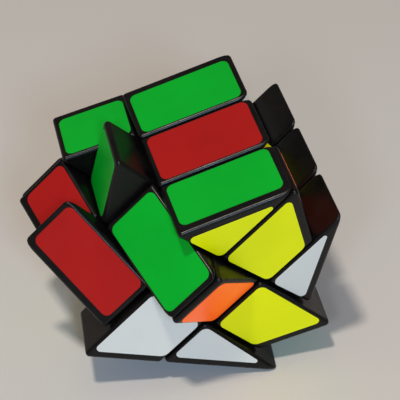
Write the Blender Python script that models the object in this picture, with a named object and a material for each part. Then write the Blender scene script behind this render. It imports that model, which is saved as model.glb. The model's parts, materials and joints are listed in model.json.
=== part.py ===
"""A 57 mm pinwheel puzzle cube: three layers each way round a core, with the outer cube turned on the core.

It is scrambled, and its left layer and middle slice are part way through a turn about the yellow-white axis.

Frames. The core frame has X to the right layer (R), Y to the top (U) and Z to the front (F). A piece's own
frame is the core frame of the solved puzzle, with z towards the yellow face. Lengths below are in
millimetres, and each finished mesh is scaled to metres once. The world has +Z up, -Y to the front and its
origin under the middle of the puzzle.
"""

import math
from itertools import permutations, product

import bmesh
import bpy
from mathutils import Matrix, Vector

METRES = 0.001

# Driving dimensions, in millimetres and degrees.
CUBE_SIDE = 57.0
STICKER_THICKNESS = 0.15
CLEARANCE = 0.2
EDGE_ROUND = 1.1
EDGE_SEGMENTS = 2
LEFT_LAYER_TURN = -12.8
MIDDLE_SLICE_TURN = -6.2
SPHERE_SEGMENTS = 24

# The layer cuts are a third of the side apart. Each one meets an upright edge of the outer cube, which sets
# how far that cube is turned.
CELL = CUBE_SIDE / 6
HALF = CUBE_SIDE / 2 - STICKER_THICKNESS
TURN = math.acos(CELL / (CUBE_SIDE / 2) / math.sqrt(2)) - math.pi / 4

# A pointed tip is nearly sharp across its middle and rounder towards its two corners. Each ball that shapes
# such a corner is (radius, distance of its centre from the end plane).
TIP_BALLS = ((0.36, 2.0), (0.6, 1.1), (EDGE_ROUND, EDGE_ROUND))
TIP_COSINE = -0.8

# The mechanism: feet run between two spheres under the shells, and their cuts lie nearer the axes than the
# shells' cuts do.
FOOT_CELL = 5.0
FOOT_INNER = 13.6
FOOT_OUTER = 19.8
SHELL_CUT = 20.4
STEM_START = 9.8
CORNER_STEM_END = 14.0
EDGE_STEM_END = 15.5

CORE_BALL = 7.0
ARM_RADIUS = 2.9
ARM_REACH = 12.6
SCREW_HOLE = 1.4
HOLE_START = 7.5
SCREW_RADIUS = 1.1
SCREW_START = 8.6
HEAD_RADIUS = 2.7
HEAD_BOTTOM = 21.1
HEAD_TOP = 22.4
DRIVE_WIDTH = 0.7
DRIVE_LENGTH = 3.0
DRIVE_DEPTH = 0.8
POST_BOTTOM = 13.4
POST_TOP = 18.4
POST_FLOOR = 15.0
COLLAR_TOP = 23.8
COLLAR_RADIUS = 4.4
BORE_RADIUS = 3.4
SOCKET_RADIUS = 4.7
SOCKET_TOP = 24.3
WASHER_BOTTOM = 20.5
WASHER_TOP = 20.9
WASHER_RADIUS = 3.0
SPRING_RADIUS = 2.3
SPRING_WIRE = 0.3
SPRING_TURNS = 3
SPRING_POINTS = 9
ROUND_STEPS = 20

BLANK_SIZE = 4 * CUBE_SIDE
MERGE_DISTANCE = 0.001
FLAT_ANGLE = 0.01
SMOOTH_ANGLE = 32.0
OVERLAP = 1.0

# The resting pose, seen from the core frame: the left layer's lowest tips set the way up.
REST_ANGLE = 45.0
FRONT = Vector((0.375, 0.65, 0.661))

FACES = {
    "R": Vector((1, 0, 0)),
    "L": Vector((-1, 0, 0)),
    "U": Vector((0, 1, 0)),
    "D": Vector((0, -1, 0)),
    "F": Vector((0, 0, 1)),
    "B": Vector((0, 0, -1)),
}

# Name, shape, slot, and the face that the shape's key side points to.
SCRAMBLE = (
    ("corner_yellow_green", "corner_yellow", "RUF", "F"),
    ("corner_white_green", "corner_white", "RUB", "B"),
    ("corner_white_orange", "corner_white", "RDF", "F"),
    ("corner_yellow_red", "corner_yellow", "RDB", "B"),
    ("corner_white_red", "corner_white", "LUF", "L"),
    ("corner_yellow_orange", "corner_yellow", "LUB", "L"),
    ("corner_white_blue", "corner_white", "LDF", "F"),
    ("corner_yellow_blue", "corner_yellow", "LDB", "B"),
    ("edge_belt_red", "edge_belt", "RU", "U"),
    ("edge_yellow_orange", "edge_yellow", "RF", "F"),
    ("edge_white_orange", "edge_white", "RB", "R"),
    ("edge_belt_blue", "edge_belt", "RD", "D"),
    ("edge_belt_green", "edge_belt", "UF", "U"),
    ("edge_white_green", "edge_white", "UB", "B"),
    ("edge_yellow_green", "edge_yellow", "DF", "F"),
    ("edge_yellow_blue", "edge_yellow", "DB", "D"),
    ("edge_yellow_red", "edge_yellow", "LU", "L"),
    ("edge_white_blue", "edge_white", "LF", "F"),
    ("edge_white_red", "edge_white", "LB", "B"),
    ("edge_belt_orange", "edge_belt", "LD", "D"),
    ("cap_yellow", "cap_polar", "R", "U"),
    ("cap_white", "cap_polar", "L", "U"),
    ("cap_green", "cap_side", "U", "L"),
    ("cap_blue", "cap_side", "D", "L"),
    ("cap_orange", "cap_side", "F", "D"),
    ("cap_red", "cap_side", "B", "L"),
)
# For each shape: its cell, and the direction of its key side. Caps key on the side that they lean towards.
SHAPES = {
    "corner_yellow": ((1, 1, 1), (0, 0, 1)),
    "corner_white": ((1, 1, -1), (0, 0, -1)),
    "edge_yellow": ((1, 0, 1), (0, 0, 1)),
    "edge_white": ((1, 0, -1), (0, 0, -1)),
    "edge_belt": ((1, 1, 0), (0, 1, 0)),
    "cap_polar": ((0, 0, 1), (1, 0, 0)),
    "cap_side": ((1, 0, 0), (0, -1, 0)),
}

BLACK_PLASTIC = ((0.012, 0.012, 0.013, 1), 0.28, 0.0)
MECHANISM_PLASTIC = ((0.02, 0.02, 0.022, 1), 0.45, 0.0)
CORE_PLASTIC = ((0.75, 0.75, 0.73, 1), 0.4, 0.0)
STEEL = ((0.62, 0.62, 0.64, 1), 0.3, 1.0)


def clear_scene():
    for obj in list(bpy.data.objects):
        bpy.data.objects.remove(obj, do_unlink=True)


def collection_named(name):
    collection = bpy.data.collections.new(name)
    bpy.context.scene.collection.children.link(collection)
    return collection


def material_named(name, look):
    colour, roughness, metallic = look
    material = bpy.data.materials.new(name)
    material.use_nodes = True
    shader = material.node_tree.nodes["Principled BSDF"]
    shader.inputs["Base Color"].default_value = colour
    shader.inputs["Roughness"].default_value = roughness
    shader.inputs["Metallic"].default_value = metallic
    return material


def mesh_from(bm, name):
    bmesh.ops.recalc_face_normals(bm, faces=bm.faces[:])
    mesh = bpy.data.meshes.new(name)
    bm.to_mesh(mesh)
    bm.free()
    return mesh


def combined(first, second, operation):
    """A new mesh: the first joined with, cut by or kept inside the second. Both are used up."""
    body = bpy.data.objects.new("body", first)
    cutter = bpy.data.objects.new("cutter", second)
    for obj in (body, cutter):
        bpy.context.scene.collection.objects.link(obj)
    modifier = body.modifiers.new("combine", "BOOLEAN")
    modifier.operation = operation
    modifier.solver = "EXACT"
    modifier.object = cutter
    graph = bpy.context.evaluated_depsgraph_get()
    result = bpy.data.meshes.new_from_object(body.evaluated_get(graph))
    for obj in (body, cutter):
        bpy.data.objects.remove(obj, do_unlink=True)
    bpy.data.meshes.remove(first)
    bpy.data.meshes.remove(second)
    return result


def cut_solid(planes):
    """The solid inside every plane, each given as (outward normal, distance from the centre)."""
    bm = bmesh.new()
    bmesh.ops.create_cube(bm, size=BLANK_SIZE)
    for normal, distance in planes:
        cut = bmesh.ops.bisect_plane(
            bm,
            geom=bm.verts[:] + bm.edges[:] + bm.faces[:],
            plane_co=normal * distance,
            plane_no=normal,
            clear_outer=True,
        )
        rim = [part for part in cut["geom_cut"] if isinstance(part, bmesh.types.BMEdge)]
        if rim:
            bmesh.ops.edgenet_fill(bm, edges=rim)
    bmesh.ops.remove_doubles(bm, verts=bm.verts[:], dist=MERGE_DISTANCE)
    bmesh.ops.recalc_face_normals(bm, faces=bm.faces[:])
    return bm


def spread(normals):
    """Directions over the corner between three face normals, in even steps along each of its sides."""
    first, second, third = normals
    steps = [i / EDGE_SEGMENTS for i in range(EDGE_SEGMENTS + 1)]
    return [first.slerp(second, across).slerp(third, along) for across in steps for along in steps]


def rounded_solid(planes):
    """The solid inside the planes with rounded edges: the hull of small balls that fit into its corners."""
    sharp = cut_solid(planes)
    bm = bmesh.new()
    for vert in sharp.verts:
        around = [face.normal for face in vert.link_faces]
        normals = sorted(around, key=lambda normal: -sum(abs(normal.dot(other)) for other in around))
        pointed = normals[0].dot(normals[1]) < TIP_COSINE
        for radius, distance in TIP_BALLS if pointed else ((EDGE_ROUND, EDGE_ROUND),):
            centre = vert.co - Matrix(normals).inverted() @ Vector((radius, radius, distance))
            for direction in spread(normals):
                bm.verts.new(centre + direction * radius)
    sharp.free()
    bmesh.ops.remove_doubles(bm, verts=bm.verts[:], dist=MERGE_DISTANCE)
    hull = bmesh.ops.convex_hull(bm, input=bm.verts[:])
    inner = set(hull["geom_interior"] + hull["geom_unused"])
    bmesh.ops.delete(bm, geom=[vert for vert in bm.verts if vert in inner], context="VERTS")
    bmesh.ops.dissolve_limit(bm, angle_limit=FLAT_ANGLE, verts=bm.verts[:], edges=bm.edges[:])
    return mesh_from(bm, "rounded")


def sphere(radius):
    bm = bmesh.new()
    bmesh.ops.create_uvsphere(bm, u_segments=SPHERE_SEGMENTS, v_segments=SPHERE_SEGMENTS // 2, radius=radius)
    return mesh_from(bm, "sphere")


def box(low, high):
    bm = bmesh.new()
    bmesh.ops.create_cube(bm, size=1.0)
    for vert in bm.verts:
        vert.co = Vector(high[i] if vert.co[i] > 0 else low[i] for i in range(3))
    return mesh_from(bm, "box")


def cylinder(radius, bottom, top, axis=0):
    """A cylinder along one axis of the frame, from bottom to top."""
    bm = bmesh.new()
    bmesh.ops.create_cone(
        bm, cap_ends=True, segments=ROUND_STEPS, radius1=radius, radius2=radius, depth=top - bottom
    )
    bmesh.ops.translate(bm, verts=bm.verts[:], vec=(0, 0, (top + bottom) / 2))
    turned = (Matrix.Rotation(math.pi / 2, 3, "Y"), Matrix.Rotation(-math.pi / 2, 3, "X"), Matrix.Identity(3))
    bmesh.ops.transform(bm, verts=bm.verts[:], matrix=turned[axis].to_4x4())
    return mesh_from(bm, "cylinder")


def cell_planes(cell, half_width):
    """The layer cuts that bound one cell, each drawn back by the clearance."""
    planes = []
    for axis, side in zip((Vector((1, 0, 0)), Vector((0, 1, 0)), Vector((0, 0, 1))), cell):
        if side:
            planes.append((axis * -side, -half_width - CLEARANCE))
        else:
            planes.append((axis, half_width - CLEARANCE))
            planes.append((-axis, half_width - CLEARANCE))
    return planes


def outer_planes():
    """The six faces of the solved cube: two across z, and four turned about z."""
    planes = [(Vector((0, 0, 1)), HALF), (Vector((0, 0, -1)), HALF)]
    for quarter in range(4):
        angle = quarter * math.pi / 2 - TURN
        planes.append((Vector((math.cos(angle), math.sin(angle), 0)), HALF))
    return planes


def shell(cell):
    """The visible block of one piece, hollowed underneath by the sphere that the feet run in."""
    block = rounded_solid(cell_planes(cell, CELL) + outer_planes())
    return combined(block, sphere(SHELL_CUT), "DIFFERENCE")


def foot(cell):
    """The part of a corner or edge that reaches under its neighbours' shells and holds it in."""
    block = mesh_from(cut_solid(cell_planes(cell, FOOT_CELL)), "foot")
    block = combined(block, sphere(FOOT_OUTER), "INTERSECT")
    return combined(block, sphere(FOOT_INNER), "DIFFERENCE")


def stem(cell):
    """The neck that joins a piece's foot to its shell."""
    end = EDGE_STEM_END if 0 in cell else CORNER_STEM_END
    low, high = [], []
    for side in cell:
        reach = (STEM_START, end) if side else (CLEARANCE - FOOT_CELL, FOOT_CELL - CLEARANCE)
        low.append(min(reach) if side >= 0 else -max(reach))
        high.append(max(reach) if side >= 0 else -min(reach))
    return box(low, high)


def footed_piece(cell):
    footed = combined(foot(cell), stem(cell), "UNION")
    return combined(shell(cell), footed, "UNION")


def cap(cell):
    """A centre's outer cover, with a round socket for the collar of the centre post."""
    axis = next(i for i, side in enumerate(cell) if side)
    socket = cylinder(SOCKET_RADIUS, FOOT_INNER, SOCKET_TOP, axis)
    return combined(shell(cell), socket, "DIFFERENCE")


def centre_post():
    """The moving body of a centre, along x: a square block and a collar, bored for spring and screw."""
    side = FOOT_CELL - CLEARANCE
    post = box((POST_BOTTOM, -side, -side), (POST_TOP, side, side))
    post = combined(post, cylinder(COLLAR_RADIUS, POST_FLOOR, COLLAR_TOP), "UNION")
    post = combined(post, cylinder(BORE_RADIUS, POST_FLOOR, COLLAR_TOP + OVERLAP), "DIFFERENCE")
    return combined(post, cylinder(SCREW_HOLE, POST_BOTTOM - OVERLAP, POST_FLOOR + OVERLAP), "DIFFERENCE")


def axle_screw():
    """A pan-head screw along x with a cross recess."""
    shank = cylinder(SCREW_RADIUS, SCREW_START, (HEAD_BOTTOM + HEAD_TOP) / 2)
    screw = combined(shank, cylinder(HEAD_RADIUS, HEAD_BOTTOM, HEAD_TOP), "UNION")
    low = HEAD_TOP - DRIVE_DEPTH
    for width, length in ((DRIVE_WIDTH, DRIVE_LENGTH), (DRIVE_LENGTH, DRIVE_WIDTH)):
        slot = box((low, -width / 2, -length / 2), (HEAD_TOP + OVERLAP, width / 2, length / 2))
        screw = combined(screw, slot, "DIFFERENCE")
    return screw


def washer():
    ring = cylinder(WASHER_RADIUS, WASHER_BOTTOM, WASHER_TOP)
    hole = cylinder(SCREW_HOLE, WASHER_BOTTOM - OVERLAP, WASHER_TOP + OVERLAP)
    return combined(ring, hole, "DIFFERENCE")


def core():
    """A ball with six arms, each drilled from its end for a screw."""
    body = sphere(CORE_BALL)
    for axis in range(3):
        body = combined(body, cylinder(ARM_RADIUS, -ARM_REACH, ARM_REACH, axis), "UNION")
        for low, high in ((HOLE_START, ARM_REACH + OVERLAP), (-ARM_REACH - OVERLAP, -HOLE_START)):
            body = combined(body, cylinder(SCREW_HOLE, low, high, axis), "DIFFERENCE")
    return body


def spring_curve():
    """A compression spring along x, between the post's floor and the washer."""
    curve = bpy.data.curves.new("spring", "CURVE")
    curve.dimensions = "3D"
    curve.bevel_depth = SPRING_WIRE * METRES
    curve.bevel_resolution = 2
    curve.use_fill_caps = True
    curve.materials.append(None)
    count = SPRING_TURNS * SPRING_POINTS + 1
    low = POST_FLOOR + 2 * SPRING_WIRE
    high = WASHER_BOTTOM - 2 * SPRING_WIRE
    spline = curve.splines.new("POLY")
    spline.points.add(count - 1)
    for i, point in enumerate(spline.points):
        angle = 2 * math.pi * i / SPRING_POINTS
        along = low + (high - low) * i / (count - 1)
        spot = Vector((along, SPRING_RADIUS * math.cos(angle), SPRING_RADIUS * math.sin(angle)))
        point.co = (*(spot * METRES), 1)
    return curve


def finished(mesh, name):
    """Scales a mesh to metres and shades its round parts smooth."""
    mesh.name = name
    mesh.transform(Matrix.Scale(METRES, 4))
    mesh.shade_smooth()
    mesh.set_sharp_from_angle(angle=math.radians(SMOOTH_ANGLE))
    mesh.materials.clear()
    mesh.materials.append(None)
    return mesh


def quarter_turns():
    """The 24 ways to turn a cube onto itself."""
    turns = []
    for order in permutations(range(3)):
        for signs in product((1, -1), repeat=3):
            swap = Matrix([[int(place == column) for column in range(3)] for place in order])
            matrix = Matrix.Diagonal(signs) @ swap
            if matrix.determinant() > 0:
                turns.append(matrix)
    return turns


def turn_onto(start, key, slot, facing):
    """The quarter turns that carry a shape's cell to its slot with its key side towards a face."""
    target = sum((FACES[letter] for letter in slot), Vector((0, 0, 0)))
    for matrix in quarter_turns():
        if matrix @ Vector(start) == target and matrix @ Vector(key) == FACES[facing]:
            return matrix
    raise ValueError(f"no turn puts {start} at {slot} facing {facing}")


def add_node(name, data, look, collection, parent, matrix):
    obj = bpy.data.objects.new(name, data)
    collection.objects.link(obj)
    obj.parent = parent
    obj.matrix_local = matrix.to_4x4()
    obj.material_slots[0].link = "OBJECT"
    obj.material_slots[0].material = material_named(name, look)


def layer_frames(collection):
    """Empties at the core's centre: the middle slice, and the outer layers that turn about the core's X."""
    puzzle = bpy.data.objects.new("puzzle_frame", None)
    collection.objects.link(puzzle)
    frames = {}
    for layer, turn in (("M", MIDDLE_SLICE_TURN), ("L", LEFT_LAYER_TURN), ("R", 0.0)):
        frame = bpy.data.objects.new("layer_frame_" + layer, None)
        collection.objects.link(frame)
        frame.parent = puzzle
        frame.rotation_euler = (math.radians(turn), 0, 0)
        frames[layer] = frame
    return puzzle, frames


def layer_of(slot):
    return slot[0] if slot[0] in "RL" else "M"


def build_shells(collection, frames):
    makers = {"cap_polar": cap, "cap_side": cap}
    meshes = {
        shape: finished(makers.get(shape, footed_piece)(cell), shape) for shape, (cell, _) in SHAPES.items()
    }
    for name, shape, slot, facing in SCRAMBLE:
        cell, key = SHAPES[shape]
        matrix = turn_onto(cell, key, slot, facing)
        add_node(name, meshes[shape], BLACK_PLASTIC, collection, frames[layer_of(slot)], matrix)


def build_mechanism(collection, frames):
    add_node("core", finished(core(), "core"), CORE_PLASTIC, collection, frames["M"], Matrix.Identity(3))
    parts = (
        ("centre_post", finished(centre_post(), "centre_post"), MECHANISM_PLASTIC, True),
        ("axle_screw", finished(axle_screw(), "axle_screw"), STEEL, False),
        ("washer", finished(washer(), "washer"), STEEL, False),
        ("spring", spring_curve(), STEEL, False),
    )
    for name, _, slot, facing in SCRAMBLE:
        if not name.startswith("cap_"):
            continue
        colour = name.split("_")[1]
        matrix = turn_onto((1, 0, 0), (0, -1, 0), slot, facing)
        for kind, data, look, turns_with_layer in parts:
            frame = frames[layer_of(slot) if turns_with_layer else "M"]
            add_node(kind + "_" + colour, data, look, collection, frame, matrix)


def stand_on_floor(puzzle, collection):
    """Turns the puzzle to its resting pose, and puts the world's origin under the middle of its box."""
    rest = math.radians(REST_ANGLE)
    up = Matrix.Rotation(math.radians(LEFT_LAYER_TURN), 3, "X") @ Vector((math.cos(rest), math.sin(rest), 0))
    back = (up * FRONT.dot(up) - FRONT).normalized()
    puzzle.matrix_world = Matrix((back.cross(up), back, up)).to_4x4()
    bpy.context.view_layer.update()
    shells = [obj for obj in collection.objects if obj.type == "MESH"]
    points = [obj.matrix_world @ vert.co for obj in shells for vert in obj.data.vertices]
    low = [min(point[i] for point in points) for i in range(3)]
    high = [max(point[i] for point in points) for i in range(3)]
    puzzle.location = (-(low[0] + high[0]) / 2, -(low[1] + high[1]) / 2, -low[2])
    bpy.context.view_layer.update()


def main():
    clear_scene()
    collection = collection_named("pinwheel_puzzle_cube")
    puzzle, frames = layer_frames(collection)
    build_shells(collection, frames)
    build_mechanism(collection, frames)
    stand_on_floor(puzzle, collection)


main()
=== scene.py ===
"""The looks of the pinwheel puzzle cube: rounded black pieces, 42 vinyl stickers, its metal and core.

Frames and shapes follow the CAD model. Lengths are in millimetres in a piece's own frame, where z points to
the yellow face of the solved puzzle, and each finished mesh is scaled to metres and put in its place once.
"""

import json
import math
from itertools import permutations, product

import bmesh
import bpy
from mathutils import Matrix, Vector


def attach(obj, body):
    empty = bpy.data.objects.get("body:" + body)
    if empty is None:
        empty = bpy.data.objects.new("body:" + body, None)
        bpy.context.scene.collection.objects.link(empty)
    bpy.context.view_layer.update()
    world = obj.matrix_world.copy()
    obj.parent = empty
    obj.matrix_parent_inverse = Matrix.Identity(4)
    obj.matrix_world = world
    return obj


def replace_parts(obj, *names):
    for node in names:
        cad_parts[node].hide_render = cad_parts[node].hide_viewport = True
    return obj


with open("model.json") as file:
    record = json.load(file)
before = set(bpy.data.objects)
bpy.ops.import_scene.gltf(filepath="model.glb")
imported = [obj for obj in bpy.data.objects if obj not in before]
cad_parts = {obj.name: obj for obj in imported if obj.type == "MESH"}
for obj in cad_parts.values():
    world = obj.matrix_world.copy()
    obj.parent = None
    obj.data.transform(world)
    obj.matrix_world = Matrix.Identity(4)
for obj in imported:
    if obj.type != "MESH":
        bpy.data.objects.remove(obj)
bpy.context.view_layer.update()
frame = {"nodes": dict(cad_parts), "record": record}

METRES = 0.001

# The CAD model's driving dimensions, in millimetres and degrees.
CUBE_SIDE = 57.0
CLEARANCE = 0.2
EDGE_ROUND = 1.1
LEFT_LAYER_TURN = -12.8
MIDDLE_SLICE_TURN = -6.2
REST_ANGLE = 45.0
FRONT = Vector((0.375, 0.65, 0.661))
CELL = CUBE_SIDE / 6
# The plastic stops short of the cube's side by this much, to leave room for the stickers.
STICKER_THICKNESS = 0.15
HALF = CUBE_SIDE / 2 - STICKER_THICKNESS
TURN = math.acos(CELL / (CUBE_SIDE / 2) / math.sqrt(2)) - math.pi / 4
FOOT_CELL = 5.0
FOOT_INNER = 13.6
FOOT_OUTER = 19.8
SHELL_CUT = 20.4
STEM_START = 9.8
CORNER_STEM_END = 14.0
EDGE_STEM_END = 15.5
SOCKET_RADIUS = 4.7
SOCKET_TOP = 24.3

# A pointed tip is nearly sharp across its middle and rounder towards its two corners. Each ball that shapes
# such a corner is (radius, distance of its centre from the end plane).
TIP_BALLS = ((0.36, 2.0), (0.45, 1.4), (0.7, 1.1), (EDGE_ROUND, EDGE_ROUND))
TIP_COSINE = -0.8

# The visual meshes are finer than the CAD model's.
EDGE_SEGMENTS = 5
SPHERE_SEGMENTS = 48
ROUND_STEPS = 32
BLANK_SIZE = 4 * CUBE_SIDE
MERGE_DISTANCE = 0.001
FLAT_ANGLE = 0.01
SMOOTH_ANGLE = 40.0

# Stickers stop short of each edge of their face, by the kind of face beyond it: another outer face of the
# solved cube, or a layer cut that meets this face bluntly, squarely or sharply. The square cuts of the polar
# faces have the narrower margin.
MARGIN_OUTER = 2.6
MARGIN_BLUNT = 0.6
MARGIN_SQUARE = 1.0
MARGIN_POLAR = 0.7
MARGIN_SHARP = 2.4

# A sticker's corner is rounded in proportion to its angle. Its profile steps in, up to its top, from a hair
# above the plastic: (how far in, height).
STICKER_ROUND = 1.9
STICKER_ARC = 6
STICKER_PROFILE = ((0.0, 0.01), (0.0, 0.06), (0.02, 0.09), (0.06, 0.1))

FACES = {
    "R": Vector((1, 0, 0)),
    "L": Vector((-1, 0, 0)),
    "U": Vector((0, 1, 0)),
    "D": Vector((0, -1, 0)),
    "F": Vector((0, 0, 1)),
    "B": Vector((0, 0, -1)),
}
BODIES = {"R": "right_layer", "L": "left_layer", "M": "middle_slice"}

# Name, shape, slot, and the face that the shape's key side points to. The name gives the sticker on the
# polar face, if it has one, and then the sticker on the side.
SCRAMBLE = (
    ("corner_yellow_green", "corner_yellow", "RUF", "F"),
    ("corner_white_green", "corner_white", "RUB", "B"),
    ("corner_white_orange", "corner_white", "RDF", "F"),
    ("corner_yellow_red", "corner_yellow", "RDB", "B"),
    ("corner_white_red", "corner_white", "LUF", "L"),
    ("corner_yellow_orange", "corner_yellow", "LUB", "L"),
    ("corner_white_blue", "corner_white", "LDF", "F"),
    ("corner_yellow_blue", "corner_yellow", "LDB", "B"),
    ("edge_belt_red", "edge_belt", "RU", "U"),
    ("edge_yellow_orange", "edge_yellow", "RF", "F"),
    ("edge_white_orange", "edge_white", "RB", "R"),
    ("edge_belt_blue", "edge_belt", "RD", "D"),
    ("edge_belt_green", "edge_belt", "UF", "U"),
    ("edge_white_green", "edge_white", "UB", "B"),
    ("edge_yellow_green", "edge_yellow", "DF", "F"),
    ("edge_yellow_blue", "edge_yellow", "DB", "D"),
    ("edge_yellow_red", "edge_yellow", "LU", "L"),
    ("edge_white_blue", "edge_white", "LF", "F"),
    ("edge_white_red", "edge_white", "LB", "B"),
    ("edge_belt_orange", "edge_belt", "LD", "D"),
    ("cap_yellow", "cap_polar", "R", "U"),
    ("cap_white", "cap_polar", "L", "U"),
    ("cap_green", "cap_side", "U", "L"),
    ("cap_blue", "cap_side", "D", "L"),
    ("cap_orange", "cap_side", "F", "D"),
    ("cap_red", "cap_side", "B", "L"),
)
# For each shape: its cell, and the direction of its key side. Caps key on the side that they lean towards.
SHAPES = {
    "corner_yellow": ((1, 1, 1), (0, 0, 1)),
    "corner_white": ((1, 1, -1), (0, 0, -1)),
    "edge_yellow": ((1, 0, 1), (0, 0, 1)),
    "edge_white": ((1, 0, -1), (0, 0, -1)),
    "edge_belt": ((1, 1, 0), (0, 1, 0)),
    "cap_polar": ((0, 0, 1), (1, 0, 0)),
    "cap_side": ((1, 0, 0), (0, -1, 0)),
}

# The middle range of noise values, which holds nearly all of its surface.
NOISE_MIDDLE = (0.35, 0.65)

# The two close colours that each sticker film clouds between.
STICKER_COLOURS = {
    "white": ((0.76, 0.765, 0.74), (0.73, 0.74, 0.72)),
    "yellow": ((0.93, 0.96, 0.0), (0.87, 0.91, 0.0)),
    "red": ((0.42, 0.010, 0.009), (0.37, 0.009, 0.008)),
    "orange": ((1.0, 0.15, 0.012), (1.0, 0.13, 0.010)),
    "green": ((0.0, 0.42, 0.024), (0.0, 0.38, 0.022)),
    "blue": ((0.006, 0.07, 0.38), (0.005, 0.06, 0.33)),
}

# Emission of a film in its own colour. It is set to give the orange enough brightness.
# This glow is painted light: the film gives off light that no lamp in the scene gives it.
FILM_EMISSION = {"orange": 0.34}

# Name, direction from the puzzle, distance, size, energy in watts and colour.
LAMPS = (
    ("overhead", Vector((-0.143, -0.318, 1.0)), 1.3, 0.12, 8.3, (1.0, 0.905, 0.79)),
    ("front_right", Vector((0.27, -1.59, 1.0)), 1.2, 0.20, 5.2, (0.50, 0.76, 1.0)),
    ("front_left", Vector((-0.35, -1.50, 1.0)), 1.2, 0.20, 2.4, (0.75, 0.88, 1.0)),
)
AMBIENT = (0.21, 0.175, 0.15)
FLOOR_SIZE = 3.0
FLOOR_COLOURS = ((0.67, 0.645, 0.615), (0.64, 0.615, 0.585))

# The camera looks at a point beside the core, given from the core's centre. Metres and degrees.
CAMERA_AIM = Vector((0.00294, 0.00344, 0.00462))
CAMERA_AZIMUTH = 0.39
CAMERA_ELEVATION = 36.87
CAMERA_ROLL = -2.26
CAMERA_DISTANCE = 0.5591
CAMERA_LENS = 180.7
CAMERA_SENSOR = 36.0
CAMERA_CLIP = 0.01
CORE_CENTRE = Vector(frame["record"]["behaviour"]["joints"][0]["pos_m"])


def mesh_from(bm, name):
    bmesh.ops.recalc_face_normals(bm, faces=bm.faces[:])
    mesh = bpy.data.meshes.new(name)
    bm.to_mesh(mesh)
    bm.free()
    return mesh


def combined(first, second, operation):
    """A new mesh: the first joined with, cut by or kept inside the second. Both are used up."""
    body = bpy.data.objects.new("body", first)
    cutter = bpy.data.objects.new("cutter", second)
    for obj in (body, cutter):
        bpy.context.scene.collection.objects.link(obj)
    modifier = body.modifiers.new("combine", "BOOLEAN")
    modifier.operation = operation
    modifier.solver = "EXACT"
    modifier.object = cutter
    graph = bpy.context.evaluated_depsgraph_get()
    result = bpy.data.meshes.new_from_object(body.evaluated_get(graph))
    for obj in (body, cutter):
        bpy.data.objects.remove(obj, do_unlink=True)
    bpy.data.meshes.remove(first)
    bpy.data.meshes.remove(second)
    return result


def cut_solid(planes):
    """The solid inside every plane, each given as (outward normal, distance from the centre)."""
    bm = bmesh.new()
    bmesh.ops.create_cube(bm, size=BLANK_SIZE)
    for normal, distance in planes:
        cut = bmesh.ops.bisect_plane(
            bm,
            geom=bm.verts[:] + bm.edges[:] + bm.faces[:],
            plane_co=normal * distance,
            plane_no=normal,
            clear_outer=True,
        )
        rim = [part for part in cut["geom_cut"] if isinstance(part, bmesh.types.BMEdge)]
        if rim:
            bmesh.ops.edgenet_fill(bm, edges=rim)
    bmesh.ops.remove_doubles(bm, verts=bm.verts[:], dist=MERGE_DISTANCE)
    bmesh.ops.recalc_face_normals(bm, faces=bm.faces[:])
    return bm


def spread(normals):
    """Directions over the corner between three face normals, in even steps along each of its sides."""
    first, second, third = normals
    steps = [i / EDGE_SEGMENTS for i in range(EDGE_SEGMENTS + 1)]
    return [first.slerp(second, across).slerp(third, along) for across in steps for along in steps]


def rounded_solid(planes):
    """The solid inside the planes with rounded edges: the hull of small balls that fit into its corners."""
    sharp = cut_solid(planes)
    bm = bmesh.new()
    for vert in sharp.verts:
        around = [face.normal for face in vert.link_faces]
        normals = sorted(around, key=lambda normal: -sum(abs(normal.dot(other)) for other in around))
        pointed = normals[0].dot(normals[1]) < TIP_COSINE
        for radius, distance in TIP_BALLS if pointed else ((EDGE_ROUND, EDGE_ROUND),):
            centre = vert.co - Matrix(normals).inverted() @ Vector((radius, radius, distance))
            for direction in spread(normals):
                bm.verts.new(centre + direction * radius)
    sharp.free()
    bmesh.ops.remove_doubles(bm, verts=bm.verts[:], dist=MERGE_DISTANCE)
    hull = bmesh.ops.convex_hull(bm, input=bm.verts[:])
    inner = set(hull["geom_interior"] + hull["geom_unused"])
    bmesh.ops.delete(bm, geom=[vert for vert in bm.verts if vert in inner], context="VERTS")
    bmesh.ops.dissolve_limit(bm, angle_limit=FLAT_ANGLE, verts=bm.verts[:], edges=bm.edges[:])
    return mesh_from(bm, "rounded")


def sphere(radius):
    bm = bmesh.new()
    bmesh.ops.create_uvsphere(bm, u_segments=SPHERE_SEGMENTS, v_segments=SPHERE_SEGMENTS // 2, radius=radius)
    return mesh_from(bm, "sphere")


def box(low, high):
    bm = bmesh.new()
    bmesh.ops.create_cube(bm, size=1.0)
    for vert in bm.verts:
        vert.co = Vector(high[i] if vert.co[i] > 0 else low[i] for i in range(3))
    return mesh_from(bm, "box")


def cylinder(radius, bottom, top, axis=0):
    """A cylinder along one axis of the frame, from bottom to top."""
    bm = bmesh.new()
    bmesh.ops.create_cone(
        bm, cap_ends=True, segments=ROUND_STEPS, radius1=radius, radius2=radius, depth=top - bottom
    )
    bmesh.ops.translate(bm, verts=bm.verts[:], vec=(0, 0, (top + bottom) / 2))
    turned = (
        Matrix.Rotation(math.pi / 2, 3, "Y"),
        Matrix.Rotation(-math.pi / 2, 3, "X"),
        Matrix.Identity(3),
    )
    bmesh.ops.transform(bm, verts=bm.verts[:], matrix=turned[axis].to_4x4())
    return mesh_from(bm, "cylinder")


def cell_planes(cell, half_width):
    """The layer cuts that bound one cell, each drawn back by the clearance."""
    planes = []
    for axis, side in zip((Vector((1, 0, 0)), Vector((0, 1, 0)), Vector((0, 0, 1))), cell):
        if side:
            planes.append((axis * -side, -half_width - CLEARANCE))
        else:
            planes.append((axis, half_width - CLEARANCE))
            planes.append((-axis, half_width - CLEARANCE))
    return planes


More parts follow.
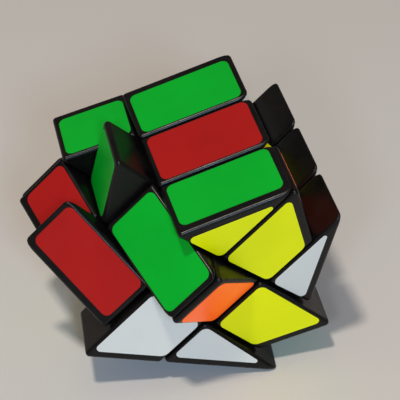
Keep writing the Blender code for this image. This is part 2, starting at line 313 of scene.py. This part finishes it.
def outer_planes():
    """The six faces of the solved cube: two across z, and four turned about z."""
    planes = [(Vector((0, 0, 1)), HALF), (Vector((0, 0, -1)), HALF)]
    for quarter in range(4):
        angle = quarter * math.pi / 2 - TURN
        planes.append((Vector((math.cos(angle), math.sin(angle), 0)), HALF))
    return planes


def shell(cell):
    block = rounded_solid(cell_planes(cell, CELL) + outer_planes())
    return combined(block, sphere(SHELL_CUT), "DIFFERENCE")


def foot(cell):
    block = mesh_from(cut_solid(cell_planes(cell, FOOT_CELL)), "foot")
    block = combined(block, sphere(FOOT_OUTER), "INTERSECT")
    return combined(block, sphere(FOOT_INNER), "DIFFERENCE")


def stem(cell):
    end = EDGE_STEM_END if 0 in cell else CORNER_STEM_END
    low, high = [], []
    for side in cell:
        reach = (STEM_START, end) if side else (CLEARANCE - FOOT_CELL, FOOT_CELL - CLEARANCE)
        low.append(min(reach) if side >= 0 else -max(reach))
        high.append(max(reach) if side >= 0 else -min(reach))
    return box(low, high)


def footed_piece(cell):
    footed = combined(foot(cell), stem(cell), "UNION")
    return combined(shell(cell), footed, "UNION")


def cap(cell):
    axis = next(i for i, side in enumerate(cell) if side)
    socket = cylinder(SOCKET_RADIUS, FOOT_INNER, SOCKET_TOP, axis)
    return combined(shell(cell), socket, "DIFFERENCE")


def on_outside(face):
    """Whether a face of a piece lies on a face of the solved cube, and not on a layer cut."""
    middle = face.calc_center_median()
    return any(middle.dot(normal) > distance - MERGE_DISTANCE for normal, distance in outer_planes())


def is_polar(face):
    return abs(face.normal.z) > 1 - FLAT_ANGLE


def margin_beside(face, beyond):
    """How far a sticker stops short of the edge between its face and the one beyond."""
    if on_outside(beyond):
        return MARGIN_OUTER
    turn = face.normal.angle(beyond.normal)
    if abs(turn - math.pi / 2) < FLAT_ANGLE:
        return MARGIN_POLAR if is_polar(face) else MARGIN_SQUARE
    return MARGIN_BLUNT if turn < math.pi / 2 else MARGIN_SHARP


def sticker_outline(face, drawn_in):
    """The face's outline drawn in by its margins and a little more, with its corners rounded into arcs."""
    sides = []
    for loop in face.loops:
        margin = margin_beside(face, loop.link_loop_radial_next.face) + drawn_in
        along = (loop.link_loop_next.vert.co - loop.vert.co).normalized()
        inward = face.normal.cross(along)
        sides.append((loop.vert.co + inward * margin, along, inward))
    outline = []
    for i, (start, along, inward) in enumerate(sides):
        before, before_along, before_inward = sides[i - 1]
        corner = before + before_along * ((start - before).dot(inward) / before_along.dot(inward))
        angle = (-before_along).angle(along)
        radius = STICKER_ROUND * angle / (math.pi / 2) - drawn_in
        middle = corner + (inward + before_inward).normalized() * (radius / math.sin(angle / 2))
        for step in range(STICKER_ARC + 1):
            outward = (-before_inward).slerp(-inward, step / STICKER_ARC)
            outline.append(middle + outward * radius)
    return outline


def sticker_mesh(face):
    """A thin plate on one face of a piece, with a softened rim."""
    bm = bmesh.new()
    rings = []
    for drawn_in, height in STICKER_PROFILE:
        points = sticker_outline(face, drawn_in)
        rings.append([bm.verts.new(point + face.normal * height) for point in points])
    for lower, upper in zip(rings, rings[1:]):
        for i in range(len(lower)):
            bm.faces.new((lower[i - 1], lower[i], upper[i], upper[i - 1]))
    bm.faces.new(rings[-1])
    bm.faces.new(reversed(rings[0]))
    return finished(mesh_from(bm, "sticker"))


def sticker_meshes(cell):
    """A sticker for each side of the solved cube that a piece reaches, and whether that side is polar."""
    bm = cut_solid(cell_planes(cell, CELL) + outer_planes())
    found = [(sticker_mesh(face), is_polar(face)) for face in bm.faces if on_outside(face)]
    bm.free()
    return found


def finished(mesh):
    """The mesh in metres, smooth but for its sharp edges, with one empty material slot."""
    mesh.transform(Matrix.Scale(METRES, 4))
    mesh.shade_smooth()
    mesh.set_sharp_from_angle(angle=math.radians(SMOOTH_ANGLE))
    mesh.materials.clear()
    mesh.materials.append(None)
    return mesh


def quarter_turns():
    """The 24 ways to turn a cube onto itself."""
    turns = []
    for order in permutations(range(3)):
        for signs in product((1, -1), repeat=3):
            swap = Matrix([[int(place == column) for column in range(3)] for place in order])
            matrix = Matrix.Diagonal(signs) @ swap
            if matrix.determinant() > 0:
                turns.append(matrix)
    return turns


def turn_onto(start, key, slot, facing):
    """The quarter turns that carry a shape's cell to its slot with its key side towards a face."""
    target = sum((FACES[letter] for letter in slot), Vector((0, 0, 0)))
    for matrix in quarter_turns():
        if matrix @ Vector(start) == target and matrix @ Vector(key) == FACES[facing]:
            return matrix
    raise ValueError(f"no turn puts {start} at {slot} facing {facing}")


def layer_of(slot):
    return slot[0] if slot[0] in "RL" else "M"


def layer_matrices():
    """Where each layer's frame lies: the CAD model's resting pose, about the core's centre."""
    rest = math.radians(REST_ANGLE)
    up = Matrix.Rotation(math.radians(LEFT_LAYER_TURN), 3, "X") @ Vector((math.cos(rest), math.sin(rest), 0))
    back = (up * FRONT.dot(up) - FRONT).normalized()
    puzzle = Matrix.Translation(CORE_CENTRE) @ Matrix((back.cross(up), back, up)).to_4x4()
    turns = {"M": MIDDLE_SLICE_TURN, "L": LEFT_LAYER_TURN, "R": 0.0}
    return {layer: puzzle @ Matrix.Rotation(math.radians(turn), 4, "X") for layer, turn in turns.items()}


class Nodes:
    """A material's node tree, with short calls to add and link nodes."""

    def __init__(self, name):
        self.material = bpy.data.materials.new(name)
        self.material.use_nodes = True
        self.tree = self.material.node_tree
        self.shader = self.tree.nodes["Principled BSDF"]
        self.coordinates = self.add("ShaderNodeTexCoord").outputs["Object"]

    def add(self, kind, **settings):
        node = self.tree.nodes.new(kind)
        for key, value in settings.items():
            setattr(node, key, value)
        return node

    def link(self, source, target):
        self.tree.links.new(source, target)

    def noise(self, scale, detail):
        """Cloudy noise from 0 to 1, with so many features to the metre, spread over its middle values."""
        node = self.add("ShaderNodeTexNoise")
        node.inputs["Scale"].default_value = scale
        node.inputs["Detail"].default_value = detail
        self.link(self.coordinates, node.inputs["Vector"])
        return self.ramp(node.outputs["Fac"], 0.0, 1.0, *NOISE_MIDDLE)

    def ramp(self, source, low, high, start=0.0, end=1.0):
        node = self.add("ShaderNodeMapRange")
        node.inputs["From Min"].default_value = start
        node.inputs["From Max"].default_value = end
        node.inputs["To Min"].default_value = low
        node.inputs["To Max"].default_value = high
        self.link(source, node.inputs["Value"])
        return node.outputs["Result"]

    def colour(self, factor, first, second):
        node = self.add("ShaderNodeMix", data_type="RGBA")
        self.link(factor, node.inputs["Factor"])
        node.inputs["A"].default_value = (*first, 1)
        node.inputs["B"].default_value = (*second, 1)
        self.link(node.outputs["Result"], self.shader.inputs["Base Color"])

    def roughness(self, factor, low, high):
        self.link(self.ramp(factor, low, high), self.shader.inputs["Roughness"])

    def bump(self, height, depth):
        node = self.add("ShaderNodeBump")
        node.inputs["Distance"].default_value = depth
        self.link(height, node.inputs["Height"])
        self.link(node.outputs["Normal"], self.shader.inputs["Normal"])


def black_gloss():
    """Injection-moulded ABS: deep black and glossy, with handling haze and a faint flow ripple."""
    nodes = Nodes("black_gloss_abs")
    haze = nodes.noise(160, 5)
    nodes.colour(haze, (0.002, 0.002, 0.003), (0.005, 0.004, 0.004))
    nodes.roughness(haze, 0.26, 0.38)
    nodes.shader.inputs["Specular IOR Level"].default_value = 0.25
    nodes.bump(nodes.noise(900, 3), 0.000005)
    return nodes.material


def satin_black():
    nodes = Nodes("satin_black_plastic")
    grain = nodes.noise(1500, 3)
    nodes.colour(grain, (0.016, 0.016, 0.017), (0.026, 0.026, 0.028))
    nodes.roughness(grain, 0.40, 0.55)
    nodes.bump(grain, 0.00001)
    return nodes.material


def core_plastic():
    nodes = Nodes("core_plastic")
    grain = nodes.noise(900, 4)
    nodes.colour(grain, (0.70, 0.70, 0.67), (0.78, 0.78, 0.76))
    nodes.roughness(grain, 0.35, 0.50)
    nodes.bump(grain, 0.000005)
    return nodes.material


def plated_steel():
    nodes = Nodes("plated_steel")
    grain = nodes.noise(1200, 5)
    nodes.colour(grain, (0.55, 0.56, 0.58), (0.68, 0.68, 0.69))
    nodes.roughness(grain, 0.22, 0.40)
    nodes.bump(grain, 0.000005)
    nodes.shader.inputs["Metallic"].default_value = 1.0
    return nodes.material


def vinyl(colour):
    """Sticker film: an even colour with slight clouding, a satin gloss and a very faint orange peel."""
    nodes = Nodes("vinyl_" + colour)
    nodes.colour(nodes.noise(45, 3), *STICKER_COLOURS[colour])
    nodes.roughness(nodes.noise(220, 5), 0.28, 0.36)
    nodes.shader.inputs["Specular IOR Level"].default_value = 0.2
    nodes.bump(nodes.noise(1400, 2), 0.000004)
    # The orange film gets a painted glow in its own colour, light that stands in for brightness the lamps
    # don't give.
    if colour in FILM_EMISSION:
        nodes.shader.inputs["Emission Color"].default_value = (*STICKER_COLOURS[colour][1], 1)
        nodes.shader.inputs["Emission Strength"].default_value = FILM_EMISSION[colour]
    return nodes.material


def add_piece(name, mesh, material, matrix, layer):
    """A piece whose place is in its mesh, as the CAD nodes' places are, so that it turns with its layer."""
    mesh = mesh.copy()
    mesh.transform(matrix)
    mesh.materials[0] = material
    obj = bpy.data.objects.new(name, mesh)
    bpy.context.scene.collection.objects.link(obj)
    weighted = obj.modifiers.new("weighted", "WEIGHTED_NORMAL")
    weighted.keep_sharp = True
    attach(obj, BODIES[layer])
    return obj


def build_pieces():
    black = black_gloss()
    films = {colour: vinyl(colour) for colour in STICKER_COLOURS}
    layers = layer_matrices()
    makers = {"cap_polar": cap, "cap_side": cap}
    shells = {
        shape: finished(makers.get(shape, footed_piece)(cell)) for shape, (cell, _) in SHAPES.items()
    }
    stickers = {shape: sticker_meshes(cell) for shape, (cell, _) in SHAPES.items()}
    for name, shape, slot, facing in SCRAMBLE:
        cell, key = SHAPES[shape]
        layer = layer_of(slot)
        matrix = layers[layer] @ turn_onto(cell, key, slot, facing).to_4x4()
        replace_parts(add_piece("fine_" + name, shells[shape], black, matrix, layer), name)
        colours = [word for word in name.split("_") if word in STICKER_COLOURS]
        for mesh, polar in stickers[shape]:
            colour = colours[0] if polar else colours[-1]
            label = f"{colour}_sticker_of_{name}"
            add_piece(label, mesh, films[colour], matrix, layer)


def finish_mechanism():
    """The CAD solids inside keep their shapes and get finished materials."""
    looks = {"core": core_plastic(), "centre_post": satin_black(), "steel": plated_steel()}
    for name, obj in frame["nodes"].items():
        kind = "steel" if name.startswith(("axle_screw", "washer", "spring")) else name.rsplit("_", 1)[0]
        if kind in looks:
            for material_slot in obj.material_slots:
                material_slot.material = looks[kind]


def build_floor():
    bm = bmesh.new()
    bmesh.ops.create_grid(bm, x_segments=8, y_segments=8, size=FLOOR_SIZE)
    mesh = mesh_from(bm, "floor")
    floor = bpy.data.objects.new("floor", mesh)
    bpy.context.scene.collection.objects.link(floor)
    nodes = Nodes("pale_floor")
    cloud = nodes.noise(2.5, 2)
    nodes.colour(cloud, *FLOOR_COLOURS)
    nodes.roughness(cloud, 0.55, 0.65)
    mesh.materials.append(nodes.material)


def area_light(name, place, size, energy, colour):
    light = bpy.data.lights.new(name, "AREA")
    light.shape = "DISK"
    light.size = size
    light.energy = energy
    light.color = colour
    lamp = bpy.data.objects.new(name, light)
    lamp.location = place
    lamp.rotation_euler = (CORE_CENTRE - Vector(place)).to_track_quat("-Z", "Y").to_euler()
    bpy.context.scene.collection.objects.link(lamp)


def build_lights():
    """A warm lamp overhead, two cooler ones from the front, and dim warm light from all round."""
    for name, direction, distance, size, energy, colour in LAMPS:
        area_light(name, CORE_CENTRE + direction.normalized() * distance, size, energy, colour)
    world = bpy.data.worlds.new("studio")
    world.use_nodes = True
    world.node_tree.nodes["Background"].inputs["Color"].default_value = (*AMBIENT, 1)
    bpy.context.scene.world = world


def build_camera():
    azimuth, elevation = math.radians(CAMERA_AZIMUTH), math.radians(CAMERA_ELEVATION)
    forward = Vector((
        math.sin(azimuth) * math.cos(elevation),
        math.cos(azimuth) * math.cos(elevation),
        -math.sin(elevation),
    ))
    data = bpy.data.cameras.new("camera")
    data.sensor_width = CAMERA_SENSOR
    data.lens = CAMERA_LENS
    data.clip_start = CAMERA_CLIP
    camera = bpy.data.objects.new("camera", data)
    camera.location = CORE_CENTRE + CAMERA_AIM - forward * CAMERA_DISTANCE
    roll = Matrix.Rotation(math.radians(CAMERA_ROLL), 4, "Z")
    camera.rotation_euler = (forward.to_track_quat("-Z", "Y").to_matrix().to_4x4() @ roll).to_euler()
    bpy.context.scene.collection.objects.link(camera)
    bpy.context.scene.camera = camera


bpy.context.scene.view_settings.view_transform = "Standard"
build_camera()
build_pieces()
finish_mechanism()
build_floor()
build_lights()
